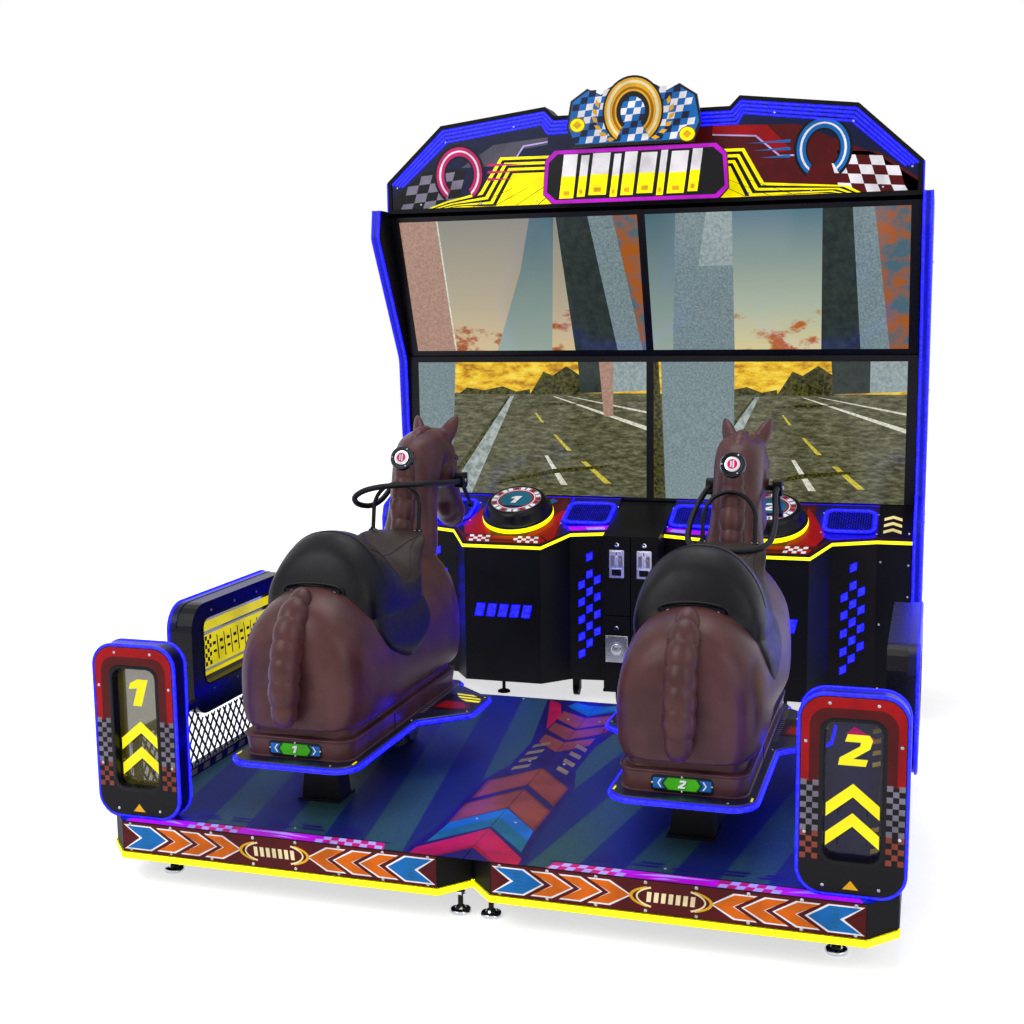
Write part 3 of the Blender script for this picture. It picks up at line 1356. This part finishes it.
def back_line(line):
    """The two ends of the line behind a screen, a clearance behind its back."""
    start, end = Vector(line[0]), Vector(line[1])
    along = (end - start).normalized()
    behind = Vector((along.y, -along.x)) * (SCREEN_THICKNESS + GAP)
    return tuple(start + behind), tuple(end + behind)


def make_screens():
    """Four screens, the carcass that carries them and the closed cabinet behind."""
    for suffix, side in SIDES:
        node("screen_lower" + suffix, sided(screen_slab(LOWER_SCREEN, LOWER_ACTIVE), side), SCREEN_GLASS)
        node("screen_upper" + suffix, sided(screen_slab(UPPER_SCREEN, UPPER_ACTIVE), side), SCREEN_GLASS)
    low_start, low_end = back_line(LOWER_SCREEN)
    high_start, high_end = back_line(UPPER_SCREEN)
    bottom = CABINET_TOP + GAP
    profile = [
        (low_start[0], bottom),
        low_end,
        (high_start[0] + GAP, high_start[1]),
        high_end,
        (high_end[0] + 0.002, CARCASS_TOP),
        (CARCASS_TOP_BACK, CARCASS_TOP),
        (CARCASS_BACK, CARCASS_KNEE_Z),
        (CARCASS_BACK, bottom),
    ]
    node("screen_carcass", prism(profile, "x", -CABINET_OUTER_X, CABINET_OUTER_X), CASE_BLACK)
    profile = [
        (CARCASS_BACK + GAP, bottom),
        (CARCASS_BACK + GAP, CARCASS_KNEE_Z),
        (CARCASS_TOP_BACK + GAP, CARCASS_TOP),
        (DEPTH - 0.03, CARCASS_TOP),
        (DEPTH, CARCASS_TOP - 0.05),
        (DEPTH, bottom),
    ]
    rear = prism(profile, "x", -CABINET_OUTER_X, CABINET_OUTER_X)
    vents = []
    for column in (-0.55, 0.55):
        for row in range(6):
            z = 1.80 + row * 0.03
            vents.append(box((column - 0.15, DEPTH - 0.010, z), (column + 0.15, DEPTH + 0.02, z + 0.012)))
    doors = []
    for column in (-0.56, 0.56):
        outline = rectangle(column - 0.46, column + 0.46, 0.95, 1.70, 0.01, 1)
        inset = rectangle(column - 0.455, column + 0.455, 0.955, 1.695, 0.01, 1)
        ring = prism(outline, "y", DEPTH - 0.003, DEPTH + 0.01)
        doors.append(cut(ring, prism(inset, "y", DEPTH - 0.01, DEPTH + 0.02)))
    node("rear_cabinet", cut(rear, several(vents), *doors), CASE_BLACK)


def make_side_panel(suffix, side):
    """The tall lit panel at the machine's side, whose front edge follows the screens and the console."""
    outline = [
        (CONSOLE_STEPS[1], CABINET_BOTTOM),
        (DEPTH, CABINET_BOTTOM),
        (DEPTH, SIDE_TOP - 0.054),
        (DEPTH - 0.05, SIDE_TOP),
        (2.244, SIDE_TOP),
        (2.225, 2.030),
        (2.518, 1.500),
        (2.542, 1.080),
        (2.500, 0.930),
        (2.290, 0.850),
        (CONSOLE_STEPS[1], 0.800),
    ]
    radii = [0.0, 0.0, 0.0, 0.0, 0.006, 0.04, 0.12, 0.08, 0.06, 0.02, 0.02]
    panel = prism(rounded(outline, radii), "x", SIDE_INNER_X, SIDE_INNER_X + SIDE_THICKNESS)
    node("side_panel" + suffix, sided(panel, side), CASE_BLACK, smooth_angle=30)


def header_outline(inset):
    """The header board's outline, stepped down behind the topper, drawn in by an inset."""
    right = [
        (HEADER_HALF_WIDTH - inset, CARCASS_TOP + GAP + inset),
        (HEADER_HALF_WIDTH - inset, 2.280 - inset * 0.4),
        (0.880 - inset * 0.4, 2.510 - inset),
        (0.410 + inset * 0.3, 2.565 - inset),
        (0.370 + inset * 0.3, 2.525 - inset),
    ]
    return right + [(-x, z) for x, z in reversed(right)]


def make_header():
    """The header light box, the title board before it and the topper board above."""
    case = prism(header_outline(0.0), "y", HEADER_FRONT, HEADER_FRONT + HEADER_DEPTH)
    face = prism(header_outline(HEADER_RIM), "y", HEADER_FRONT - 0.01, HEADER_FRONT + HEADER_RECESS)
    node("header", cut(case, face), CASE_BLACK)
    floor = HEADER_FRONT + HEADER_RECESS - GAP
    half = TITLE_HALF_WIDTH
    corner = 0.04
    outline = [
        (-half + corner, TITLE_BOTTOM),
        (half - corner, TITLE_BOTTOM),
        (half, TITLE_BOTTOM + corner),
        (half - 0.01, TITLE_TOP - corner),
        (half - 0.05, TITLE_TOP),
        (-half + 0.05, TITLE_TOP),
        (-half + 0.01, TITLE_TOP - corner),
        (-half, TITLE_BOTTOM + corner),
    ]
    board = prism(outline, "y", TITLE_FRONT, TITLE_FRONT + BOARD_THICKNESS)
    spacers = []
    for x in (-0.22, 0.22):
        middle = (TITLE_BOTTOM + TITLE_TOP) / 2
        low, high = (x - 0.05, TITLE_FRONT + 0.010, middle - 0.05), (x + 0.05, floor, middle + 0.05)
        spacers.append(box(low, high))
    node("title_board", fused(board, *spacers), PRINT_RED)
    half = TOPPER_HALF_WIDTH
    rise = TOPPER_TOP - TOPPER_BOTTOM
    right = [
        (half - 0.03, TOPPER_BOTTOM),
        (half, TOPPER_BOTTOM + rise * 0.30),
        (half - 0.02, TOPPER_BOTTOM + rise * 0.72),
        (half - 0.09, TOPPER_BOTTOM + rise * 0.90),
    ]
    crown = arc((0.0, TOPPER_TOP - 0.19), 0.19, 46.0, 134.0, 8)
    outline = right + crown + [(-x, z) for x, z in reversed(right)]
    board = prism(outline, "y", TOPPER_FRONT, TOPPER_FRONT + BOARD_THICKNESS)
    middle = TOPPER_BOTTOM + rise * 0.25
    spacer = box((-0.08, TOPPER_FRONT + 0.010, middle - 0.04), (0.08, floor, middle + 0.04))
    node("topper", fused(board, spacer), BRASS_GOLD)


clear_scene()

MACHINE = bpy.data.objects.new("machine", None)
MACHINE.location = (0.0, -DEPTH / 2, 0.0)
bpy.context.scene.collection.objects.link(MACHINE)

STEEL_BLACK = finish("black_steel", (0.012, 0.012, 0.014), 0.40)
CASE_BLACK = finish("black_case", (0.010, 0.010, 0.012), 0.45)
DECK_BLUE = finish("printed_deck", (0.030, 0.050, 0.090), 0.55)
PRINT_RED = finish("printed_red", (0.350, 0.030, 0.020), 0.40)
SMOKED = finish("smoked_pane", (0.060, 0.050, 0.010), 0.10)
PLATE_DARK = finish("footplate_blue", (0.010, 0.015, 0.060), 0.50)
MOTOR_GREY = finish("motor_grey", (0.100, 0.110, 0.120), 0.45)
BRIGHT_STEEL = finish("bright_steel", (0.550, 0.550, 0.560), 0.30, 1.0)
CHROME = finish("chrome", (0.750, 0.750, 0.760), 0.08, 1.0)
HORSE_BROWN = finish("horse_brown", (0.105, 0.042, 0.040), 0.35)
LEATHERETTE = finish("black_leatherette", (0.015, 0.015, 0.018), 0.45)
RUBBER = finish("black_rubber", (0.012, 0.012, 0.012), 0.60)
BUTTON_WHITE = finish("button_white", (0.800, 0.750, 0.750), 0.30)
SCREEN_GLASS = finish("screen_glass", (0.020, 0.025, 0.030), 0.12)
BRASS_GOLD = finish("gold_print", (0.600, 0.380, 0.060), 0.40)

for name_end, hand in SIDES:
    make_platform(name_end, hand)
    make_sign(name_end, hand)
    make_guard(name_end, hand)
    make_drive(name_end, hand)
    make_skirt(name_end, hand)
    make_horse(name_end, hand)
    make_saddle(name_end, hand)
    make_grab_handle(name_end, hand)
    make_neck_button(name_end, hand)
    make_rein_bar(name_end, hand)
    make_reins(name_end, hand)
    make_lower_cabinet(name_end, hand)
    make_lamp(name_end, hand)
    make_doors(name_end, hand)
    make_side_panel(name_end, hand)
make_coin_tower()
make_screens()
make_header()
